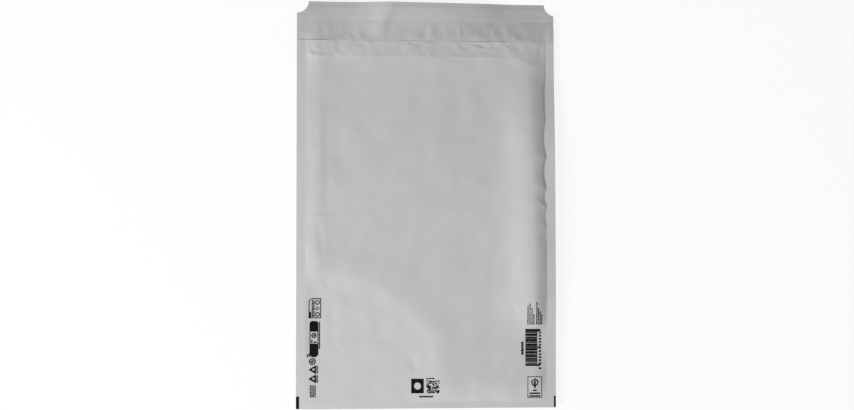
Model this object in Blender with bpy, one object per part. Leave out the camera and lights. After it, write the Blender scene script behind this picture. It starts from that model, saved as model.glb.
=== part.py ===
"""Padded postal envelope, lying on its plain address side with the flap open.

One folded sheet of white paper makes the pouch and the flap. A folded sheet of bubble film lines the pouch.
The flap carries a strip of adhesive under a peel-off liner. Metres, +Z up, +X across the envelope and +Y from
the bottom fold towards the flap. The origin is under the middle of the whole length, on the table.
"""

import math

import bmesh
import bpy

# Overall sizes of the paper
WIDTH = 0.320
BODY_LENGTH = 0.453
FLAP_LENGTH = 0.048
PAPER = 0.0003
SEAM_WIDTH = 0.011
FOLD_MARGIN = 0.008

# Bubble film and the pocket between its two layers
FILM_PAD = 0.0032
CRUSHED_FILM = 0.0006
POCKET_HEIGHT = 0.0052
POCKET_INSET = 0.010
FILM_MARGIN = 0.0015
FILM_SETBACK = 0.002

# The hem is the band at the mouth where the bubbles are pressed flat
HEM_WIDTH = 0.020
HEM_RAMP = 0.003
HEM_STEP = 0.0008
MOUTH_GAP = 0.0043

# How the padding swells between the seams, with a soft ridge along each side
SEAM_LEVEL = 0.005
SIDE_SLOPE = 0.020
END_SLOPE = 0.024
SWELL_POWER = 0.7
RIDGE_HEIGHT = 0.0015
RIDGE_INSET_LEFT = 0.016
RIDGE_REACH_LEFT = 0.016
RIDGE_INSET_RIGHT = 0.022
RIDGE_REACH_RIGHT = 0.028

# Gathers where the film draws the paper in along the side seams, strongest at the middle of the right one
GATHER_LENGTH = 0.026
GATHER_RIGHT = 0.0032
GATHER_LEFT = 0.0008
GATHER_REST = 0.3
GATHER_MID_Y = 0.025
GATHER_SPAN = 0.130
GATHER_DIP = 0.4
GATHER_STEPS = 4

# The hem sags at its right end, so the swell has a rounded corner there
HEM_CORNER_X = 0.105
HEM_CORNER_DROP = 0.014
HEM_CORNER_REACH = 0.045

# The flap lifts off the table in one long curl, with its crest aslant
CURL_HEIGHT = 0.0052
CURL_CREST_X = -0.040
CURL_CREST_LEAN = 0.020
CURL_REACH_LEFT = 0.055
CURL_REACH_RIGHT = 0.175
FLAP_SETTLE = 0.030

# Strip of adhesive on the flap and the liner that covers it
LINER_WIDTH = 0.017
LINER_SETBACK = 0.005
LINER_THICKNESS = 0.0002
ADHESIVE_WIDTH = 0.012
ADHESIVE_THICKNESS = 0.0002
ADHESIVE_END_MARGIN = 0.016
LINER_LIFT = 0.0016

# One round punch notches both corners of the flap. It sat a little off to the right, so that notch is narrower
PUNCH_RADIUS = 0.0145
PUNCH_OFFSET = 0.003
PUNCH_DEPTH = 0.060
PUNCH_SIDES = 48

# Clearances and grid spacing
CLEARANCE = 0.0003
HOLLOW_LIP = 0.00005
WALL_LEAN = 0.0001
MOUTH_OVERRUN = 0.002
COLUMN_SPACING = 0.0185
SLOPE_STEPS = (0.18, 0.35, 0.6)

# Worked out from the sizes above
HALF_WIDTH = WIDTH / 2
SEAM_X = HALF_WIDTH - SEAM_WIDTH
FOLD_Y = -(BODY_LENGTH + FLAP_LENGTH) / 2
PAD_START_Y = FOLD_Y + FOLD_MARGIN
MOUTH_Y = FOLD_Y + BODY_LENGTH
HEM_Y = MOUTH_Y - HEM_WIDTH
TOP_Y = MOUTH_Y + FLAP_LENGTH
SEAM_THICKNESS = 2 * PAPER + CLEARANCE
SEAM_UNDER = SEAM_LEVEL - SEAM_THICKNESS / 2
SEAM_OVER = SEAM_LEVEL + SEAM_THICKNESS / 2
WALL = PAPER + CLEARANCE
BODY_HEIGHT = 2 * (WALL + FILM_PAD) + POCKET_HEIGHT
MOUTH_HEIGHT = WALL + FILM_PAD + MOUTH_GAP + CRUSHED_FILM + WALL
FILM_X = SEAM_X - FILM_MARGIN
FILM_START_Y = PAD_START_Y + FILM_MARGIN
FILM_END_Y = MOUTH_Y - FILM_SETBACK
HEM_LIFT = FILM_PAD - CRUSHED_FILM
POCKET_X = SEAM_X - POCKET_INSET
POCKET_START_Y = PAD_START_Y + POCKET_INSET * END_SLOPE / SIDE_SLOPE
LINER_END_Y = TOP_Y - LINER_SETBACK
LINER_START_Y = LINER_END_Y - LINER_WIDTH
ADHESIVE_MID_Y = (LINER_START_Y + LINER_END_Y) / 2
ADHESIVE_X = HALF_WIDTH - ADHESIVE_END_MARGIN
GATHER_START_Y = PAD_START_Y + END_SLOPE
GATHER_COUNT = max(1, round((HEM_Y - GATHER_START_Y) / GATHER_LENGTH))
GATHER_PITCH = (HEM_Y - GATHER_START_Y) / GATHER_COUNT

PAPER_WHITE = (0.53, 0.53, 0.54, 1)
FILM_CLEAR = (0.80, 0.84, 0.86, 1)
LINER_WHITE = (0.50, 0.50, 0.48, 1)
ADHESIVE_AMBER = (0.62, 0.55, 0.36, 1)


def clamp(value):
    return min(max(value, 0.0), 1.0)


def smooth(share):
    """Eases from 0 to 1."""
    share = clamp(share)
    return share * share * (3 - 2 * share)


def swell(share):
    """Height of the padding as a share of its full height: steep at the seam, as bent film is."""
    return math.sin(math.pi / 2 * clamp(share)) ** SWELL_POWER


def bump(distance, reach):
    """One smooth hump, 1 in its middle and 0 at its reach."""
    if abs(distance) >= reach:
        return 0.0
    return (1 + math.cos(math.pi * distance / reach)) / 2


def fullness(x, y):
    """0 along the side seams and the bottom fold, 1 where the pouch has its whole height."""
    side = (SEAM_X - abs(x)) / SIDE_SLOPE
    end = (y - PAD_START_Y) / END_SLOPE
    return swell(min(side, end))


def gather(x, y):
    """How far a fold of the gathers draws the side seam in at this place."""
    if not GATHER_START_Y < y < HEM_Y:
        return 0.0
    fold = 1 - abs(math.cos(math.pi * (y - GATHER_START_Y) / GATHER_PITCH))
    strength = GATHER_REST + (1 - GATHER_REST) * bump(y - GATHER_MID_Y, GATHER_SPAN)
    return (GATHER_RIGHT if x > 0 else GATHER_LEFT) * fold * strength


def gathered_x(x, y):
    """Draws the slopes beside the seams in with the gathers; the envelope's own edges stay straight."""
    inside = smooth((abs(x) - SEAM_X + SIDE_SLOPE) / SIDE_SLOPE)
    outside = clamp((HALF_WIDTH - abs(x)) / SEAM_WIDTH)
    return x - math.copysign(gather(x, y) * inside * outside, x)


def sagged_y(x, y):
    """Lets the hem sag at its right end; the mouth stays straight."""
    drop = HEM_CORNER_DROP * smooth((x - HEM_CORNER_X) / (SEAM_X - HEM_CORNER_X))
    if y > HEM_Y:
        return y - drop * clamp((MOUTH_Y - y) / HEM_WIDTH)
    return y - drop * bump(y - HEM_Y, HEM_CORNER_REACH)


def side_ridge(x):
    if x < 0:
        return RIDGE_HEIGHT * bump(x + SEAM_X - RIDGE_INSET_LEFT, RIDGE_REACH_LEFT)
    return RIDGE_HEIGHT * bump(x - SEAM_X + RIDGE_INSET_RIGHT, RIDGE_REACH_RIGHT)


def crown(x, y):
    """Height of the pouch above the table away from its seams, lower towards the mouth."""
    ridge = side_ridge(x)
    if y <= HEM_Y:
        dip = GATHER_DIP * gather(x, y) * bump(abs(x) - SEAM_X + SIDE_SLOPE / 2, SIDE_SLOPE / 2)
        return BODY_HEIGHT + ridge - dip
    after_step = BODY_HEIGHT - HEM_STEP
    if y <= HEM_Y + HEM_RAMP:
        return BODY_HEIGHT - HEM_STEP * (y - HEM_Y) / HEM_RAMP + ridge
    share = clamp((y - HEM_Y - HEM_RAMP) / (HEM_WIDTH - HEM_RAMP))
    return after_step + (MOUTH_HEIGHT - after_step) * share + ridge * (1 - share)


def curl(x, past):
    """Height of the flap above the table, this far past the mouth."""
    along = clamp(past / FLAP_LENGTH)
    from_crest = x - CURL_CREST_X + CURL_CREST_LEAN * (1 - along)
    reach = CURL_REACH_LEFT if from_crest < 0 else CURL_REACH_RIGHT
    return CURL_HEIGHT * bump(from_crest, reach) * math.sin(math.pi / 2 * along)


def under(x, y):
    """Underside of the sheet on the table side, which runs on past the mouth as the flap."""
    full = fullness(x, y)
    height = SEAM_UNDER * (1 - full) + HEM_LIFT * smooth((y - HEM_Y) / HEM_WIDTH) * full
    if y <= MOUTH_Y:
        return height
    past = y - MOUTH_Y
    return height * (1 - smooth(past / FLAP_SETTLE)) + curl(x, past)


def over(x, y):
    """Top of the pouch."""
    return SEAM_OVER + (crown(x, y) - SEAM_OVER) * fullness(x, y)


def envelope_top(x, y):
    """Top of the pouch up to the mouth, and of the flap's single sheet past it."""
    return over(x, y) if y <= MOUTH_Y else under(x, y) + PAPER


def hollow_floor(x, y):
    return under(x, y) + PAPER + HOLLOW_LIP


def hollow_ceiling(x, y):
    return over(x, min(y, MOUTH_Y)) - PAPER


def film_underside(x, y):
    return under(x, y) + WALL


def film_top(x, y):
    return over(x, min(y, MOUTH_Y)) - WALL


def film_thickness(y):
    return FILM_PAD + (CRUSHED_FILM - FILM_PAD) * clamp((y - HEM_Y) / HEM_RAMP)


def pocket_floor(x, y):
    return film_underside(x, y) + film_thickness(y)


def pocket_ceiling(x, y):
    return film_top(x, y) - film_thickness(y)


def flap_face(rise, corner_lift=0.0):
    """A surface this much above the flap's inner face, with its loose lower corners lifted."""

    def face(x, y):
        loose = smooth((abs(x) - ADHESIVE_X) / (HALF_WIDTH - ADHESIVE_X))
        below = clamp((LINER_END_Y - y) / LINER_WIDTH)
        return under(x, y) + PAPER + rise + corner_lift * loose * below

    return face


def spaced(start, end, spacing):
    """Even steps from start towards end, without end."""
    count = max(1, math.ceil((end - start) / spacing))
    return [start + (end - start) * i / count for i in range(count)]


def grid_columns():
    """X of every grid line, closer together where the padding swells. All the sheets share them."""
    slope = [SEAM_X - SIDE_SLOPE * (1 - step) for step in (0.0, *SLOPE_STEPS)]
    half = spaced(0.0, SEAM_X - SIDE_SLOPE, COLUMN_SPACING)[1:] + slope
    half += [POCKET_X, FILM_X, SEAM_X, ADHESIVE_X, HALF_WIDTH]
    return without_neighbours([0.0] + half + [-x for x in half])


def grid_rows():
    """Y of every grid line, from the bottom fold to the flap's free edge."""
    slope = [PAD_START_Y + END_SLOPE * (1 - step) for step in (0.0, *SLOPE_STEPS)]
    body = [FOLD_Y, FOLD_Y + PAPER, PAD_START_Y, FILM_START_Y, POCKET_START_Y] + slope
    body += [GATHER_START_Y + GATHER_PITCH * i / GATHER_STEPS for i in range(GATHER_COUNT * GATHER_STEPS)]
    hem = [HEM_Y, HEM_Y + HEM_RAMP, (HEM_Y + HEM_RAMP + MOUTH_Y) / 2, FILM_END_Y, MOUTH_Y]
    flap = [MOUTH_Y + WALL_LEAN, MOUTH_Y + MOUTH_OVERRUN, TOP_Y]
    flap += spaced(MOUTH_Y + MOUTH_OVERRUN, TOP_Y, FLAP_LENGTH / 5)[1:]
    flap += [LINER_START_Y, LINER_END_Y]
    flap += [ADHESIVE_MID_Y - ADHESIVE_WIDTH / 2, ADHESIVE_MID_Y + ADHESIVE_WIDTH / 2]
    return without_neighbours(body + hem + flap)


def without_neighbours(values):
    """Sorted, and each value once."""
    kept = []
    for value in sorted(values):
        if not kept or value - kept[-1] > WALL_LEAN / 2:
            kept.append(value)
    return kept


def between(values, low, high):
    margin = WALL_LEAN / 4
    return [value for value in values if low - margin < value < high + margin]


def make_material(name, colour, roughness, alpha=1.0):
    material = bpy.data.materials.new(name)
    material.use_nodes = True
    shader = material.node_tree.nodes["Principled BSDF"]
    shader.inputs["Base Color"].default_value = colour
    shader.inputs["Roughness"].default_value = roughness
    shader.inputs["Metallic"].default_value = 0.0
    shader.inputs["Alpha"].default_value = alpha
    return material


def make_slab(name, collection, columns, rows, floor, ceiling):
    """A closed sheet or block over a grid, its underside on floor(x, y) and its top on ceiling(x, y)."""
    mesh = bpy.data.meshes.new(name)
    bm = bmesh.new()
    bmesh.ops.create_grid(bm, x_segments=len(columns) - 1, y_segments=len(rows) - 1, size=1)
    bm.verts.index_update()
    for vert in bm.verts:
        vert.co.x = columns[vert.index % len(columns)]
        vert.co.y = rows[vert.index // len(columns)]
    bmesh.ops.triangulate(bm, faces=bm.faces[:], quad_method="FIXED")
    lower = set(bm.verts)
    bmesh.ops.extrude_face_region(bm, geom=bm.faces[:])
    for vert in bm.verts:
        x, y = vert.co.xy
        surface = floor if vert in lower else ceiling
        vert.co = (gathered_x(x, y), sagged_y(x, y), surface(x, y))
    bmesh.ops.recalc_face_normals(bm, faces=bm.faces[:])
    bm.to_mesh(mesh)
    bm.free()
    mesh.shade_smooth()
    mesh.set_sharp_from_angle(angle=math.radians(40))
    slab = bpy.data.objects.new(name, mesh)
    collection.objects.link(slab)
    return slab


def cut(target, cutter):
    modifier = target.modifiers.new("cut by " + cutter.name, "BOOLEAN")
    modifier.operation = "DIFFERENCE"
    modifier.solver = "EXACT"
    modifier.object = cutter


def hide_cutter(cutter):
    cutter.hide_render = True
    cutter.display_type = "WIRE"


def make_punch(name, collection, centre_x):
    """The round punch that notches one corner of the flap."""
    bpy.ops.mesh.primitive_cylinder_add(
        vertices=PUNCH_SIDES, radius=PUNCH_RADIUS, depth=PUNCH_DEPTH, location=(centre_x, TOP_Y, 0)
    )
    punch = bpy.context.object
    punch.name = name
    for old in punch.users_collection:
        old.objects.unlink(punch)
    collection.objects.link(punch)
    hide_cutter(punch)
    return punch


def make_collection(name):
    collection = bpy.data.collections.new(name)
    bpy.context.scene.collection.children.link(collection)
    return collection


def make_paper(parts, cutters, columns, rows, punches):
    """The folded sheet: pouch and flap, glued along both sides and open at the mouth."""
    paper = make_slab("paper_envelope", parts, columns, rows, under, envelope_top)
    hollow_columns = between(columns, -SEAM_X, SEAM_X)
    hollow_rows = between(rows, FOLD_Y + PAPER, MOUTH_Y + MOUTH_OVERRUN)
    hollow = make_slab("paper_hollow", cutters, hollow_columns, hollow_rows, hollow_floor, hollow_ceiling)
    hide_cutter(hollow)
    cut(paper, hollow)
    for punch in punches:
        cut(paper, punch)
    paper.data.materials.append(make_material("white kraft paper", PAPER_WHITE, 0.75))
    return paper


def make_lining(parts, cutters, columns, rows):
    """The folded bubble film, with the pocket open between its two layers."""
    film_columns = between(columns, -FILM_X, FILM_X)
    film_rows = between(rows, FILM_START_Y, FILM_END_Y)
    lining = make_slab("bubble_lining", parts, film_columns, film_rows, film_underside, film_top)
    pocket_columns = between(columns, -POCKET_X, POCKET_X)
    pocket_rows = between(rows, POCKET_START_Y, MOUTH_Y)
    pocket = make_slab("pocket", cutters, pocket_columns, pocket_rows, pocket_floor, pocket_ceiling)
    hide_cutter(pocket)
    cut(lining, pocket)
    lining.data.materials.append(make_material("bubble film", FILM_CLEAR, 0.25, alpha=0.55))
    return lining


def make_closure(parts, columns, rows, punches):
    """The adhesive strip on the flap's inner face, and the liner that peels off it."""
    glue_rows = between(rows, ADHESIVE_MID_Y - ADHESIVE_WIDTH / 2, ADHESIVE_MID_Y + ADHESIVE_WIDTH / 2)
    glue_top = CLEARANCE + ADHESIVE_THICKNESS
    adhesive = make_slab(
        "adhesive_strip",
        parts,
        between(columns, -ADHESIVE_X, ADHESIVE_X),
        glue_rows,
        flap_face(CLEARANCE),
        flap_face(glue_top),
    )
    adhesive.data.materials.append(make_material("hot melt adhesive", ADHESIVE_AMBER, 0.35))
    liner_rows = between(rows, LINER_START_Y, LINER_END_Y)
    liner_under = glue_top + CLEARANCE
    liner = make_slab(
        "release_liner",
        parts,
        columns,
        liner_rows,
        flap_face(liner_under, LINER_LIFT),
        flap_face(liner_under + LINER_THICKNESS, LINER_LIFT),
    )
    for punch in punches:
        cut(liner, punch)
    liner.data.materials.append(make_material("siliconed liner paper", LINER_WHITE, 0.45))


def main():
    for old in list(bpy.data.objects):
        bpy.data.objects.remove(old, do_unlink=True)
    parts = make_collection("padded_envelope")
    cutters = make_collection("cutters")
    columns = grid_columns()
    rows = grid_rows()
    punches = [
        make_punch("punch_left", cutters, -HALF_WIDTH),
        make_punch("punch_right", cutters, HALF_WIDTH + PUNCH_OFFSET),
    ]
    make_paper(parts, cutters, columns, rows, punches)
    make_lining(parts, cutters, columns, rows)
    make_closure(parts, columns, rows, punches)


main()
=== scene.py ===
# %% [markdown]
# # A padded postal envelope
# The real one is a single sheet of white kraft paper. It is folded once at the bottom, glued shut along
# both sides and left open at the top, where the back ply runs on as a flap. A second folded sheet, of
# bubble film, lines it. On the flap lies a strip of adhesive under a liner that peels off. It lies here on
# its address side with the flap open. Lengths are in metres, X runs across, Y runs from the bottom fold to
# the flap and Z is up. The measured solids come first: they are the frame that every dressed piece has to
# fit.

# %% Load the measured solids
import math

import bpy
import numpy as np
from mathutils import Matrix, Vector


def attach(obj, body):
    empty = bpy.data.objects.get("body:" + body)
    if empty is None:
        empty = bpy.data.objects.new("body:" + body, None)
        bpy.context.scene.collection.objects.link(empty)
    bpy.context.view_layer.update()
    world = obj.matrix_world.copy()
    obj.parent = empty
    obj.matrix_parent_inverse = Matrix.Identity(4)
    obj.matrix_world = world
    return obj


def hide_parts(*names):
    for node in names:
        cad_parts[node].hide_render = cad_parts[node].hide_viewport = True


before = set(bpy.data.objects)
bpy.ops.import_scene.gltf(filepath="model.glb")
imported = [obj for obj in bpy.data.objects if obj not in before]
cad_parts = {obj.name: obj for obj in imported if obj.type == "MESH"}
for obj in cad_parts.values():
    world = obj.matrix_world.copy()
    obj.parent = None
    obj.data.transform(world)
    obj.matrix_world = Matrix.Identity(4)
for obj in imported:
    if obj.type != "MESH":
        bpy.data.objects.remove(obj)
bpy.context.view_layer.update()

# %% [markdown]
# ## Sizes of the sheets
# Every sheet is drawn from the same few sizes, which are the ones of the solids: the paper's cut, the strip
# that is glued along each side, the height of the padding and the band at the mouth where the bubbles are
# pressed flat. Keeping them as named values means that a wider envelope is one changed number.

# %% Sizes
HALF_WIDTH = 0.160
FOLD_Y, MOUTH_Y, TOP_Y = -0.2505, 0.2025, 0.2505
SEAM_X = 0.149
PAD_START_Y = -0.2425
HEM_WIDTH = 0.020
HEM_Y = MOUTH_Y - HEM_WIDTH
FLAP_LENGTH = TOP_Y - MOUTH_Y
PAPER = 0.00028
# Height of the bottom fold above the table, and half the distance between two glued plies.
FOLD_LEVEL = 0.005
SEAM_HALF = 0.0003
# How far the swell reaches in from the left seam and from the bottom fold.
SLOPE_LEFT, END_SLOPE = 0.017, 0.026
NOTCH_RADIUS = 0.0145
NOTCH_OFFSET_RIGHT = 0.003
MM = 0.001
sizes = (2 * HALF_WIDTH / MM, (MOUTH_Y - FOLD_Y) / MM, FLAP_LENGTH / MM)
print("paper, mm: %.0f wide, its body %.0f and its flap %.0f long" % sizes)

# %% [markdown]
# ## Small curves to build with
# A sheet of paper is easiest to shape as a height above the table at each place of its grid. All the
# swells, ridges and creases below are sums of a few small curves: one that eases from 0 to 1, one smooth
# hump, one crease along a line and one soft unevenness. They work on whole numpy arrays at once, so a dense
# grid is quick.


# %% Small curves
def clamp(value):
    return np.clip(value, 0.0, 1.0)


def smooth(share):
    """Eases from 0 to 1."""
    share = clamp(share)
    return share * share * (3 - 2 * share)


def bump(distance, reach):
    """One smooth hump: 1 in its middle, 0 at its reach."""
    return (1 + np.cos(math.pi * np.clip(distance / reach, -1, 1))) / 2


# A crease has faded out at this share of its length from its middle.
CREASE_FADE = 0.65


def crease(x, y, line, width, height):
    """A low ridge along a line of two points, fading out at both ends. A negative height makes a groove."""
    (x0, y0), (x1, y1) = line
    length = math.hypot(x1 - x0, y1 - y0)
    ux, uy = (x1 - x0) / length, (y1 - y0) / length
    along = ((x - x0) * ux + (y - y0) * uy) / length
    across = (x - x0) * uy - (y - y0) * ux
    return height * np.exp(-((across / width) ** 2)) * bump(along - 0.5, CREASE_FADE)


# The shift puts the envelope in the middle of the lattice and off its lines.
LATTICE, LATTICE_SHIFT = 64, (32.3, 32.7)


def cockle(x, y, size, seed):
    """Soft unevenness from -1 to 1, with humps about this size, between seeded heights on a lattice."""
    heights = np.random.default_rng(seed).uniform(-1, 1, (LATTICE, LATTICE))
    u, v = x / size + LATTICE_SHIFT[0], y / size + LATTICE_SHIFT[1]
    i, j = np.floor(u).astype(int), np.floor(v).astype(int)
    s, t = smooth(u - i), smooth(v - j)
    left, right = i % LATTICE, (i + 1) % LATTICE
    low, high = j % LATTICE, (j + 1) % LATTICE
    near = heights[left, low] * (1 - s) + heights[right, low] * s
    far = heights[left, high] * (1 - s) + heights[right, high] * s
    return near * (1 - t) + far * t


def turned_cockle(x, y, angle, size_along, size_across, seed):
    """The same unevenness drawn out along a direction, for wrinkles that run one way."""
    c, s = math.cos(angle), math.sin(angle)
    return cockle((x * c + y * s) / size_along, (y * c - x * s) / size_across, 1.0, seed)


# Places every half millimetre, a little past both ends of the sheet.
LINE = np.linspace(-0.27, 0.27, 1081)


def profile(at, table, blur=6.0):
    """A smooth line through a few (place, height) pairs in millimetres. The blur rounds its corners."""
    places, heights = np.array(table).T * MM
    reach = int(blur * MM / (LINE[1] - LINE[0]))
    window = bump(np.arange(-reach, reach + 1), reach + 1)
    drawn = np.pad(np.interp(LINE, places, heights), reach, mode="edge")
    return np.interp(at, LINE, np.convolve(drawn, window / window.sum(), "valid"))


print("hump at half its reach:", float(bump(0.5, 1.0)))

# %% [markdown]
# ## How the padding swells
# Between the glued seams the two plies are pushed apart by the film. The swell is steep at the seam and
# rounds off into a flat middle, like any bent sheet, so it follows the first quarter of a sine wave. On the
# right the wave is raised to a power that changes along the side: below 1 it starts more steeply and draws
# a dark line at the seam, and above 1 it starts softly. The seam itself isn't straight: where the film has
# shrunk a little it draws the paper in, and the foot of the swell wanders in scallops, most of all on the
# right. The grid lines are moved sideways with it, so that they follow the scallops instead of cutting
# across them.

# %% Swell and gathers
SWELL_LEFT, SWELL_END = 1.0, 0.95
SCALLOP_DEPTH_RIGHT, SCALLOP_DEPTH_LEFT = 0.0042, 0.0008
SCALLOP_ENDS_Y = (0.104, 0.0585, 0.0205, -0.003, -0.028, -0.052, -0.080, -0.112, -0.150)
SCALLOP_MIDDLE_Y, SCALLOP_REACH, SCALLOP_LEAST, SCALLOP_POWER = 0.045, 0.120, 0.25, 0.8
SCALLOP_FADE_BOTTOM, SCALLOP_FADE_TOP = 0.01, 0.04
# One longer, shallower gather above the scallops, and a small shift of the whole right seam outward.
TOP_GATHER_Y, TOP_GATHER_REACH, TOP_GATHER_SHARE = 0.130, 0.060, 0.55
RIGHT_SEAM_OUTWARD = 0.0006
LEFT_WAVE, LEFT_WAVE_SEED = 0.018, 5
DRAW_PAST_HEM, DRAW_FADE_TOP, DRAW_FADE_BOTTOM = 0.012, 0.03, 0.05
DRAWN_REACH = 0.032
HEM_CORNER_X, HEM_CORNER_DROP, HEM_CORNER_REACH = 0.100, 0.012, 0.045


def scallops(y):
    """0 at the cusps between scallops and 1 in their middles, fading away from the middle of the side."""
    ends = np.array(SCALLOP_ENDS_Y[::-1])
    share = np.interp(y, ends, np.arange(len(ends)), left=0, right=len(ends) - 1)
    strength = SCALLOP_LEAST + (1 - SCALLOP_LEAST) * bump(y - SCALLOP_MIDDLE_Y, SCALLOP_REACH)
    fade = smooth((y - ends[0]) / SCALLOP_FADE_BOTTOM) * smooth((HEM_Y - y) / SCALLOP_FADE_TOP)
    return np.abs(np.sin(math.pi * share)) ** SCALLOP_POWER * strength * fade


def seam_draw(x, y):
    """How far the seam's foot is drawn in at this height of the side."""
    top_gather = TOP_GATHER_SHARE * bump(y - TOP_GATHER_Y, TOP_GATHER_REACH)
    right = SCALLOP_DEPTH_RIGHT * (scallops(y) + top_gather) - RIGHT_SEAM_OUTWARD
    left = SCALLOP_DEPTH_LEFT * (0.5 + 0.5 * cockle(y, 0 * y, LEFT_WAVE, LEFT_WAVE_SEED))
    fade_top = smooth((HEM_Y + DRAW_PAST_HEM - y) / DRAW_FADE_TOP)
    fade_bottom = smooth((y - PAD_START_Y) / DRAW_FADE_BOTTOM)
    return np.where(x > 0, right, left) * fade_top * fade_bottom


def drawn_x(x, y):
    inside = smooth((np.abs(x) - SEAM_X + DRAWN_REACH) / DRAWN_REACH)
    outside = clamp((HALF_WIDTH - np.abs(x)) / (HALF_WIDTH - SEAM_X))
    return x - np.copysign(seam_draw(x, y) * inside * outside, x)


def sagged_y(x, y):
    """Lets the hem sag at its right end, which rounds the swell's corner. The mouth stays straight."""
    drop = HEM_CORNER_DROP * smooth((x - HEM_CORNER_X) / (SEAM_X - HEM_CORNER_X))
    in_hem = drop * clamp((MOUTH_Y - y) / HEM_WIDTH)
    return y - np.where(y > HEM_Y, in_hem, drop * bump(y - HEM_Y, HEM_CORNER_REACH))


# Height of the glued strips along each side, as (Y, height) in millimetres.
LEFT_STRIP = (
    (-250, 5.0), (-200, 5.2), (-110, 6.8), (-40, 7.3), (60, 7.3), (110, 6.9), (150, 6.5), (180, 6.1),
    (202, 5.4),
)
RIGHT_STRIP = (
    (-250, 5.0), (-210, 5.0), (-160, 7.2), (-120, 9.8), (-60, 10.2), (0, 10.0), (80, 9.2), (120, 7.1),
    (150, 4.9), (170, 4.2), (202, 4.4),
)
# How far the swell reaches in from the right seam, as (Y, width): long and soft at the upper corner.
RIGHT_SLOPE = (
    (-250, 18), (-190, 18), (-130, 17), (-20, 17), (20, 18), (90, 20), (120, 22), (155, 23), (182, 24),
    (202, 30),
)
# Its power, as (Y, power): below 1 it starts steeply at the seam, which draws a dark line there.
RIGHT_SWELL = (
    (-250, 1.25), (-150, 1.15), (-90, 1.0), (-20, 0.90), (40, 0.80), (90, 0.76), (130, 0.80), (202, 0.80),
)
# How far each kind of table is rounded off, in millimetres.
LONG_BLUR, SLOPE_BLUR = 12.0, 10.0
STRIP_TILT, STRIP_TILT_Y, STRIP_TILT_REACH = 0.0008, 0.055, 0.070


def seam_level(x, y):
    outer = clamp((x - SEAM_X) / (HALF_WIDTH - SEAM_X))
    tilt = STRIP_TILT * outer * bump(y - STRIP_TILT_Y, STRIP_TILT_REACH)
    return np.where(x < 0, profile(y, LEFT_STRIP, LONG_BLUR), profile(y, RIGHT_STRIP, LONG_BLUR) + tilt)


def fullness(x, y):
    """0 along the side seams and the bottom fold, 1 where the pouch has its whole height."""
    slope_right = profile(y, RIGHT_SLOPE, SLOPE_BLUR)
    # A power isn't a length, so what profile made of it as millimetres is taken back.
    swell_right = profile(y, RIGHT_SWELL, SLOPE_BLUR) / MM
    left = np.sin(math.pi / 2 * clamp((SEAM_X + x) / SLOPE_LEFT)) ** SWELL_LEFT
    right = np.sin(math.pi / 2 * clamp((SEAM_X - x) / slope_right)) ** swell_right
    end = np.sin(math.pi / 2 * clamp((y - PAD_START_Y) / END_SLOPE)) ** SWELL_END
    return left * right * end


across_slope = SEAM_X - np.array([0, 0.25, 1]) * profile(0.0, RIGHT_SLOPE, SLOPE_BLUR)
swell_there = fullness(across_slope, 0 * across_slope).round(2)
print("fullness at the right seam, a quarter in and at the top of the slope:", swell_there)

# %% [markdown]
# ## The top of the pouch
# Its height is the padding's, with what makes this one look used: a soft ridge along each side with a
# shallow groove inside it, a corner at the lower left where the padding has settled, and a gentle fall
# towards the mouth. The hem starts with a small step, because the bubbles are pressed flat from there on.

# %% Top of the pouch
# Heights across the pad, as (X, height) in millimetres: the pad itself and the two ridges that stand on it.
PAD_PROFILE = ((-149, 7.5), (-60, 7.4), (20, 7.6), (80, 7.5), (149, 7.3))
LEFT_RIDGE = ((-149, 1.1), (-132, 1.1), (-126, 0.8), (-121, 0.5), (-116, 0.3), (-108, 0.1), (-95, 0.0))
RIGHT_RIDGE = (
    (60, 0.0), (80, 0.3), (91, 0.9), (100, 1.9), (108, 3.3), (116, 4.8), (124, 6.0), (131, 6.3), (149, 6.3),
)
LEFT_RIDGE_BLUR, RIGHT_RIDGE_BLUR = 4.0, 7.0
# Where each ridge starts above the bottom fold, and over what length it rises to its height.
LEFT_RIDGE_START_Y, LEFT_RIDGE_RISE = -0.105, 0.050
RIGHT_RIDGE_START_Y, RIGHT_RIDGE_RISE = -0.175, 0.055
# The right one falls again towards its end, to this share of its height.
RIGHT_RIDGE_END_Y, RIGHT_RIDGE_FALL, RIGHT_RIDGE_LEAST = 0.190, 0.105, 0.20
RIDGE_LEAN, RIDGE_LEAN_END_Y, RIDGE_LEAN_REACH = 0.003, 0.12, 0.25
MOUTH_FALL, MOUTH_FALL_START_Y, MOUTH_FALL_REACH = 0.0012, 0.02, 0.14
HEM_SWELL, HEM_SWELL_REACH, HEM_SWELL_POWER = 0.0007, 0.022, 1.4
MOUTH_PROFILE = ((-149, 7.0), (-60, 6.9), (0, 6.3), (60, 6.1), (95, 6.2), (125, 6.4), (149, 6.3))
HEM_LIP, HEM_LIP_RISE, HEM_LIP_WIDTH = 0.00010, 0.0014, 0.006
HEM_LIP_END_X, HEM_LIP_FADE = 0.112, 0.020
TOUCHING_PLIES = 0.0006
SETTLED_CENTRE, SETTLED_SIZE, SETTLED_DEPTH = (-0.140, -0.215), (0.160, 0.138), 0.0024
# Shares of its size: how far in it reaches its depth, and how wide its foot is.
SETTLED_SLOPE, SETTLED_FOOT = 0.80, 0.10
SETTLED_RIM, SETTLED_RIM_REACH = 0.0007, 0.24
SETTLED_END_X, SETTLED_FADE = 0.10, 0.05


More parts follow.
